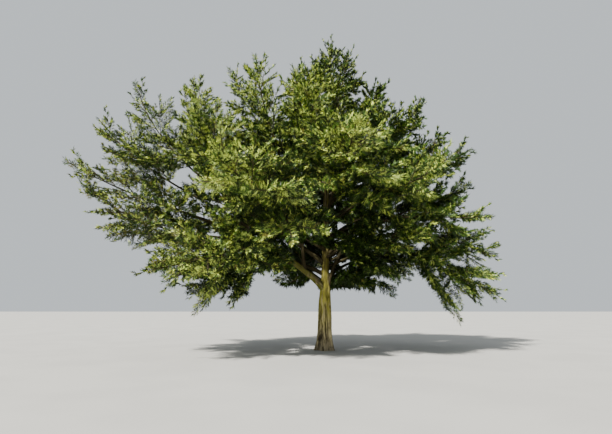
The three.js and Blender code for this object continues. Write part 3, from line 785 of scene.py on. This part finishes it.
def needle_blades(sprays, settings, inner_size):
    """Needles in two ranks on every spray: slim triangles from a short base on its axis to a tip, leaning
    forwards, the last going on from its end. Deep inside the crown they are larger by up to inner_size."""
    q = np.arange(NEEDLE_SLOTS)[None]
    share = (q + NEEDLE_OFFSET) / NEEDLE_SLOTS
    count = np.clip(sprays.length / settings.needle_spacing, NEEDLE_LEAST, NEEDLE_SLOTS)
    keep = picked(q, NEEDLE_SLOTS, count[:, None])
    seed = sprays.seed[:, None] * SEEDS_PER_SPRAY + q
    lean = NEEDLE_LEAN + NEEDLE_SWING * swing(seed, NEEDLE_LEAN_PLACE)
    lean = np.where(q == NEEDLE_SLOTS - 1, LAST_NEEDLE_LEAN, lean)
    lift = swing(seed, NEEDLE_LIFT_PLACE) * settings.needle_lift
    along = sprays.headings(hand_of(q), lean, lift)[keep]
    root = sprays.point(share)[keep]
    face = np.repeat(sprays.face, keep.sum(1), axis=0)
    roll = swing(seed, NEEDLE_ROLL_PLACE)[keep] * settings.needle_roll
    across = unit(np.cross(face, along))
    wide = across * rows(np.cos(roll)) + np.cross(along, across) * rows(np.sin(roll))
    inside = part_way(-crown_share(root), -INNER_EDGE[1], INNER_EDGE[1] - INNER_EDGE[0])
    size = mix(*NEEDLE_SIZES, chance(seed, NEEDLE_SIZE_PLACE)[keep]) * mix(1, inner_size, inside)
    length = rows(size * settings.needle_length)
    half = rows(size * settings.needle_width / 2)
    return np.stack([root - wide * half, root + wide * half, root + along * length], axis=1)


# The tints, each with how much larger its innermost needles may be. The first is painted shade and the third
# painted sunlight: a darker and a lighter green painted for shade and sun.
INNER_SIZES = {"deep": 2.4, "green": 1.5, "bright": 1.0, "blue": 1.5, "olive": 1.3}
SHADE_TINT, GREEN, SUN_TINT, BLUE, OLIVE = range(5)


def tint_of(sprays):
    """Which tint each spray has: painted shade, green or painted sunlight by the light painted on it, more on
    crest, right flank and low right side, less on far left, top and belly. Some are blue-green instead, most
    at the top and right, and some green ones olive, most low on the left."""
    middle = sprays.at(0.5)
    x, _, z = middle.T
    outside = np.clip(crown_share(middle), 0, 1)
    facing = unit((middle - CROWN_MIDDLE) / CROWN_SPAN) @ unit(TO_LIGHT)
    by_shoot = swing(np.floor(sprays.seed / SEEDS_PER_SHOOT), SHOOT_LIGHT_PLACE)
    light = LIGHT_OUTSIDE * outside + LIGHT_FACING * facing + LIGHT_BY_SHOOT * by_shoot
    light += LIGHT_BY_SPRAY * swing(sprays.seed, SPRAY_LIGHT_PLACE) + LIGHT_BASE
    light += part_way(-x, *FAR_LEFT) + part_way(x, *LOW_SIDE) * part_way(-z, *LOW)
    light += part_way(x, *RIGHT_PART) + part_way(z, *TOP_PART)
    for across, half_width, up, half_height, amount in LIGHT_PATCHES:
        away = ((x - across) / half_width) ** 2 + ((z - up) / half_height) ** 2
        light += amount * np.exp(-away)
    tint = np.where(light > SUN_TINT_ABOVE, SUN_TINT, np.where(light > GREEN_ABOVE, GREEN, SHADE_TINT))
    blue = BLUE_LEAST + part_way(x, *BLUE_RIGHT) + part_way(z, *BLUE_TOP)
    tint = np.where((chance(sprays.seed, BLUE_PLACE) < blue) & (tint != SHADE_TINT), BLUE, tint)
    olive = OLIVE_LEAST + part_way(-x, *OLIVE_LEFT) * part_way(-z, *OLIVE_LOW)
    return np.where((chance(sprays.seed, OLIVE_PLACE) < olive) & (tint == GREEN), OLIVE, tint)


class Nodes:
    """A material in the making: adds its nodes and links."""

    def __init__(self, name):
        self.material = bpy.data.materials.new(name)
        self.material.use_nodes = True
        self.tree = self.material.node_tree
        self.shader = self.tree.nodes["Principled BSDF"]
        self.place = self.add("ShaderNodeTexCoord").outputs["Object"]

    def add(self, kind, **inputs):
        """A node whose named sockets have these values."""
        node = self.tree.nodes.new(kind)
        for name, value in inputs.items():
            self.put(node.inputs[name.replace("_", " ")], value)
        return node

    def put(self, socket, value):
        if isinstance(value, bpy.types.NodeSocket):
            self.tree.links.new(value, socket)
        else:
            socket.default_value = (*value, 1) if socket.type == "RGBA" else value

    def filled(self, kind, *values):
        """A node whose first sockets have these values."""
        node = self.tree.nodes.new(kind)
        for socket, value in zip(node.inputs, values):
            self.put(socket, value)
        return node

    def noise(self, scale, detail, stretch=(1, 1, 1)):
        mapping = self.add("ShaderNodeMapping", Vector=self.place, Scale=stretch)
        place = mapping.outputs["Vector"]
        return self.add("ShaderNodeTexNoise", Vector=place, Scale=scale, Detail=detail).outputs["Fac"]

    def ramp(self, factor, stops):
        node = self.add("ShaderNodeValToRGB", Fac=factor)
        elements = node.color_ramp.elements
        while len(elements) < len(stops):
            elements.new(0.5)
        for element, (position, colour) in zip(elements, stops):
            element.position = position
            element.color = (*colour, 1)
        return node.outputs["Color"]

    def shades(self, factor, colour, stops):
        """A ramp through shades of one colour: where each stands, and how light it is."""
        return self.ramp(factor, [(position, shade(colour, amount)) for position, amount in stops])

    def blend(self, factor, first, second):
        node = self.add("ShaderNodeMix", Factor=factor)
        node.data_type = "RGBA"
        self.put(node.inputs["A"], first)
        self.put(node.inputs["B"], second)
        return node.outputs["Result"]

    def span(self, value, low, high, to_low=0, to_high=1):
        return self.filled("ShaderNodeMapRange", value, low, high, to_low, to_high).outputs["Result"]

    def times(self, first, second):
        node = self.filled("ShaderNodeMath", first, second)
        node.operation = "MULTIPLY"
        return node.outputs["Value"]

    def surface(self, colour, roughness, gloss):
        """The finished material."""
        names = ("Base Color", "Roughness", "Specular IOR Level")
        for name, value in zip(names, (colour, roughness, gloss)):
            self.put(self.shader.inputs[name], value)
        return self.material


def shade(colour, amount):
    return tuple(min(1.0, part * amount) for part in colour)


def bark_material(name, settings, film, painted_light_level, film_from, film_most, painted_crown_shade):
    """Bark: grey ridges and brown furrows from the relief attribute, the furrows' dark partly their own
    colour and partly painted shade, streaks along the limb, a brown foot, a film of algae that thickens from
    the height film_from on, all scaled by a painted light level that paints shade below 1, and the crown's
    painted shade, which darkens the bark towards the furrows' colour up in the crown."""
    made = Nodes(name)
    node = made.add("ShaderNodeAttribute")
    node.attribute_name = "bark_relief"
    relief = node.outputs["Fac"]
    height = made.add("ShaderNodeSeparateXYZ", Vector=made.place).outputs["Z"]
    streaks = made.noise(5, 6, (3, 3, 0.35))
    # Every bark colour is scaled by the painted light level; below 1 it is painted shade.
    ridge = shade(settings.bark_colour, painted_light_level)
    skin = made.shades(streaks, ridge, ((0.3, 0.5), (0.5, 0.95), (0.68, 1.45)))
    foot = made.span(height, *FOOT_SPAN, FOOT_MOST, 0)
    skin = made.blend(foot, skin, shade(settings.foot_colour, painted_light_level))
    # The furrows' colour: the bark's own darker furrows, with painted shade in them.
    bare = made.blend(made.span(relief, *FURROW_SPAN), settings.furrow_and_shade_colour, skin)
    climb = made.span(height, film_from, film_from + FILM_CLIMB, 0, film_most)
    patches = made.span(made.noise(3.2, 5, (2, 2, 0.5)), 0.3, 0.5)
    cover = made.times(made.times(climb, patches), made.span(relief, *FILM_SPAN, FILM_LEAST, 1))
    algae = made.shades(streaks, film, ((0.3, 0.6 * painted_light_level), (0.68, 1.4 * painted_light_level)))
    # Painted shade of the crown: up in the crown the bark darkens towards the furrows' colour.
    painted_shade_aloft = made.span(height, *CROWN_SHADE_SPAN, 0, painted_crown_shade)
    colour = made.blend(painted_shade_aloft, made.blend(cover, bare, algae), settings.furrow_and_shade_colour)
    grain = made.noise(60, 5, (1, 1, 0.3))
    bump = made.add("ShaderNodeBump", Height=grain, Strength=0.5, Distance=0.01)
    made.put(made.shader.inputs["Normal"], bump.outputs["Normal"])
    return made.surface(colour, made.span(streaks, *STREAK_SPAN, 0.82, 0.96), gloss=0.2)


def twig_material(name, colour):
    """Twig bark: two shades of its colour in small patches."""
    made = Nodes(name)
    patches = made.noise(9, 4)
    colours = made.shades(patches, colour, ((0.35, 0.6), (0.65, 1.4)))
    return made.surface(colours, made.span(patches, *STREAK_SPAN, 0.75, 0.92), gloss=0.25)


def needle_material(name, colour):
    """Needles: their tint, with older and younger growth a little apart, and a waxy gloss."""
    made = Nodes(name)
    young = tuple(part * times for part, times in zip(colour, YOUNG_NEEDLES))
    colours = made.ramp(made.noise(3, 3), [(0.32, shade(colour, 0.78)), (0.66, young)])
    return made.surface(colours, made.span(made.noise(14, 2), *STREAK_SPAN, 0.38, 0.55), gloss=0.22)


def number(name, description, default, **kind):
    return FloatProperty(name=name, description=description, default=default, **kind)


def colour(name, description, default):
    return FloatVectorProperty(name=name, description=description, default=default, subtype="COLOR")


class BarkSettings(bpy.types.PropertyGroup):
    """Sizes and colours of the trunk's and boughs' bark."""

    ridge_depth: number("Ridge depth", "Depth of the bark's furrows on the trunk", 0.034, unit="LENGTH")
    trunk_sides: IntProperty(name="Trunk sides", description="Points round its skin", default=120, min=20)
    collar: number("Collar", "How much a bough swells where it leaves its parent", 0.45)
    bark_colour: colour("Ridges", "Colour of the bark's ridges", (0.58, 0.485, 0.25))
    # The furrows' own dark with painted shade in them, and the colour of the crown's painted shade on the
    # bark.
    furrow_and_shade_colour: colour("Furrows", "Colour in the bark's furrows", (0.036, 0.026, 0.012))
    moss_colour: colour("Algae", "Colour of the algae on the bark", (0.225, 0.215, 0.006))
    foot_colour: colour("Foot", "Colour of the bark near the ground", (0.2, 0.16, 0.115))
    limb_moss_colour: colour("Limb's algae", "Colour of the low limb's algae", (0.2, 0.225, 0.01))


class GrowthSettings(bpy.types.PropertyGroup):
    """How twigs, shoots, sprays and needles grow."""

    twig_bow: number("Bow", "Bow of twigs and shoots, as a share of their length", 0.035)
    short_twig_shoot: number("Shoots on short twigs", "Their length as a share of the twig's", 0.8)
    shoot_spacing: number("Shoot spacing", "Least distance between shoots on a twig", 0.11, unit="LENGTH")
    spray_spacing: number("Spray spacing", "Distance between sprays on a shoot", 0.032, unit="LENGTH")
    spray_lift: number("Spray lift", "How far sprays turn out of their shoot's plane", 0.6)
    spray_roll: number("Spray roll", "How far sprays roll about their own axis", 1.4, subtype="ANGLE")
    needle_spacing: number("Needle spacing", "Distance between needles on a spray", 0.025, unit="LENGTH")
    needle_length: number("Needle length", "Length of a needle, larger than life", 0.1, unit="LENGTH")
    needle_width: number("Needle width", "Width of a needle, larger than life", 0.0245, unit="LENGTH")
    needle_lift: number("Needle lift", "How far needles turn out of their spray's plane", 1.0)
    needle_roll: number("Needle roll", "How far needles roll about their own axis", 2.4, subtype="ANGLE")
    twig_colour: colour("Twigs", "Colour of the twigs' bark", (0.06, 0.046, 0.026))
    shoot_colour: colour("Shoots", "Colour of the finest twigs", (0.07, 0.066, 0.026))


class NeedleTints(bpy.types.PropertyGroup):
    """The needles' colours."""

    # Painted shade: the needles' green darkened where the crown's shade falls.
    deep: colour("Deep", "Needles in the crown's shade", (0.012, 0.03, 0.003))
    green: colour("Green", "Most of the outer needles", (0.052, 0.115, 0.014))
    # Painted sunlight: a lighter green where the sun falls on the crown.
    bright: colour("Bright", "Sunlit growth", (0.405, 0.545, 0.145))
    blue: colour("Blue-green", "Needles at the top and right", (0.034, 0.082, 0.014))
    olive: colour("Olive", "Thin growth low on the left", (0.135, 0.145, 0.042))


class StageSettings(bpy.types.PropertyGroup):
    """Floor, lights and camera."""

    floor_colour: colour("Floor", "Colour of the plain floor", (0.36, 0.355, 0.335))
    sky_colour: colour("Backdrop", "Colour of the even light all round", (0.85, 0.91, 0.95))
    sky_strength: number("Backdrop strength", "Strength of the even light", 0.8)
    key_strength: number("Key strength", "Strength of the main light", 13.0)
    eye_height: number("Eye height", "Height of the camera", 1.6, unit="LENGTH")


class CEDAR_OT_trunk(bpy.types.Operator):
    """Make the trunk's fluted and furrowed skin"""

    bl_idname = "cedar.trunk"
    bl_label = "Trunk"

    def execute(self, context):
        settings = context.scene.cedar_bark
        # Trunk bark at full light, with the crown's painted shade up in the crown.
        bark = bark_material(
            "trunk_bark", settings, settings.moss_colour,
            painted_light_level=1.0, film_from=0.6, film_most=0.9, painted_crown_shade=0.62,
        )
        make_piece("trunk_bark", trunk_surface(settings), True, bark, ["trunk"])
        return {"FINISHED"}


class CEDAR_OT_boughs(bpy.types.Operator):
    """Make the skins of the boughs, the mossy one apart, and of the stems that go on from them"""

    bl_idname = "cedar.boughs"
    bl_label = "Boughs and stems"

    def execute(self, context):
        settings = context.scene.cedar_bark
        # Bough and stem bark painted almost black as the crown's shade.
        bark = bark_material(
            "bough_bark", settings, settings.moss_colour,
            painted_light_level=0.08, film_from=1.2, film_most=0.6, painted_crown_shade=0.0,
        )
        # The mossy limb painted half dark as the crown's shade, and darker up in the crown.
        mossy = bark_material(
            "mossy_bark", settings, settings.limb_moss_colour,
            painted_light_level=0.48, film_from=-1.0, film_most=0.95, painted_crown_shade=0.25,
        )
        mossy_limb = np.array([NAMES.index(MOSSY)])
        others = np.flatnonzero((BARE > 0) & (INDEX - 1 != mossy_limb))
        # Each: limbs, 1 if inside the masses, points round, rings, material, slot and nodes.
        pieces = (
            ("mossy_bough_bark", mossy_limb, 0, 48, 150, mossy, "mossy_bark", ["bough_" + MOSSY]),
            ("bough_bark", others, 0, 24, 56, bark, "bark", ["bough_" + NAMES[i] for i in others]),
            ("stem_bark", INDEX - 1, 1, 10, 30, bark, "bark", MASSES),
        )
        for name, limbs, in_mass, sides, rings, material, slot, stood_for in pieces:
            first = BARE[limbs] * in_mass
            last = np.ones(len(limbs)) if in_mass else BARE[limbs]
            surface = limb_surface(limbs, first, last, sides, rings, settings)
            make_piece(name, surface, True, material, stood_for)
        return {"FINISHED"}


class CEDAR_OT_twigs(bpy.types.Operator):
    """Grow the twigs on the stems, the shoots on the twigs and the fine axes of the sprays"""

    bl_idname = "cedar.twigs"
    bl_label = "Twigs"

    def execute(self, context):
        settings = context.scene.cedar_growth
        twigs, _, thick = stem_twigs(settings.twig_bow)
        shoots = all_shoots(settings)
        brown = twig_material("twig_bark", settings.twig_colour)
        green = twig_material("fine_twig_bark", settings.shoot_colour)
        surface = growth_tubes(twigs, thick, TWIG_TIP_RADIUS, rings=6, sides=5)
        make_piece("twigs", surface, True, brown, MASSES)
        foot = SHOOT_FOOT_RADIUS[0] + SHOOT_FOOT_RADIUS[1] * shoots.length
        surface = growth_tubes(shoots, foot, SHOOT_TIP_RADIUS, rings=3, sides=3)
        make_piece("shoots", surface, False, brown, MASSES)
        surface = spray_axes(all_sprays(shoots, settings))
        make_piece("spray_axes", surface, False, green, MASSES)
        return {"FINISHED"}


class CEDAR_OT_needles(bpy.types.Operator):
    """Grow the needles on the sprays, one or more pieces for each tint"""

    bl_idname = "cedar.needles"
    bl_label = "Needles"

    def execute(self, context):
        settings = context.scene.cedar_growth
        sprays = all_sprays(all_shoots(settings), settings)
        tint = tint_of(sprays)
        # Each tint becomes pieces of its own; two of them are painted shade and painted sunlight.
        for number, (name, inner_size) in enumerate(INNER_SIZES.items()):
            chosen = sprays.taken(tint == number)
            material = needle_material("needles_" + name, getattr(context.scene.cedar_tints, name))
            blades = needle_blades(chosen, settings, inner_size)
            held = sorted({MASSES[i] for i in np.unique(chosen.limb)})
            parts = np.array_split(blades, math.ceil(len(blades) / TRIANGLES_A_PIECE))
            for count, part in enumerate(parts, start=1):
                make_piece(f"needles_{name}_{count}", triangles(part), False, material, held)
        return {"FINISHED"}


class CEDAR_OT_stage(bpy.types.Operator):
    """Set out the floor, the lights and the camera"""

    bl_idname = "cedar.stage"
    bl_label = "Stage"

    def execute(self, context):
        settings = context.scene.cedar_stage
        corners = np.array([(-1, -1, 0), (1, -1, 0), (1, 1, 0), (-1, 1, 0)]) * FLOOR_HALF
        floor = new_piece("floor", corners, [np.array([[0, 1, 2, 3]])], False)
        made = Nodes("floor")
        colours = made.shades(made.noise(0.4, 2), settings.floor_colour, ((0.4, 0.97), (0.6, 1.03)))
        floor.data.materials.append(made.surface(colours, roughness=0.9, gloss=0.5))

        world = bpy.data.worlds.new("even_light")
        world.use_nodes = True
        background = world.node_tree.nodes["Background"]
        background.inputs["Color"].default_value = (*settings.sky_colour, 1)
        background.inputs["Strength"].default_value = settings.sky_strength
        context.scene.world = world

        sun = bpy.data.lights.new("key", "SUN")
        sun.energy = settings.key_strength
        sun.angle = math.radians(SUN_WIDTH)
        sun.color = SUN_COLOUR
        key = new_object("key", sun)
        key.rotation_euler = (math.radians(SUN_TILT), 0, math.radians(SUN_TURN))

        camera = bpy.data.cameras.new("camera")
        camera.lens = CAMERA_LENS
        camera.sensor_width = CAMERA_SENSOR
        camera.clip_end = 2 * FLOOR_HALF
        viewer = new_object("camera", camera)
        viewer.location = (CAMERA_ACROSS, -CAMERA_BACK, settings.eye_height)
        viewer.rotation_euler = (math.radians(90 + CAMERA_PITCH), 0, 0)
        context.scene.camera = viewer
        return {"FINISHED"}


class CEDAR_PT_panel(bpy.types.Panel):
    """The steps in their order, with their settings"""

    bl_label = "Cedar of Lebanon"
    bl_space_type = "VIEW_3D"
    bl_region_type = "UI"
    bl_category = "Cedar"

    def draw(self, context):
        for step in STEPS:
            self.layout.operator(step.bl_idname)
        for name, kind in SETTINGS.items():
            settings = getattr(context.scene, name)
            box = self.layout.box()
            box.label(text=kind.__doc__)
            for prop in kind.__annotations__:
                box.prop(settings, prop)


STEPS = (CEDAR_OT_stage, CEDAR_OT_trunk, CEDAR_OT_boughs, CEDAR_OT_twigs, CEDAR_OT_needles)
SETTINGS = {
    "cedar_bark": BarkSettings,
    "cedar_growth": GrowthSettings,
    "cedar_tints": NeedleTints,
    "cedar_stage": StageSettings,
}
CLASSES = (*SETTINGS.values(), *STEPS, CEDAR_PT_panel)


def register():
    for kind in CLASSES:
        bpy.utils.register_class(kind)
    for name, kind in SETTINGS.items():
        setattr(bpy.types.Scene, name, PointerProperty(type=kind))


def unregister():
    for name in SETTINGS:
        delattr(bpy.types.Scene, name)
    for kind in reversed(CLASSES):
        bpy.utils.unregister_class(kind)


def main():
    register()
    bpy.ops.cedar.stage()
    bpy.ops.cedar.trunk()
    bpy.ops.cedar.boughs()
    bpy.ops.cedar.twigs()
    bpy.ops.cedar.needles()


if __name__ == "__main__":
    main()
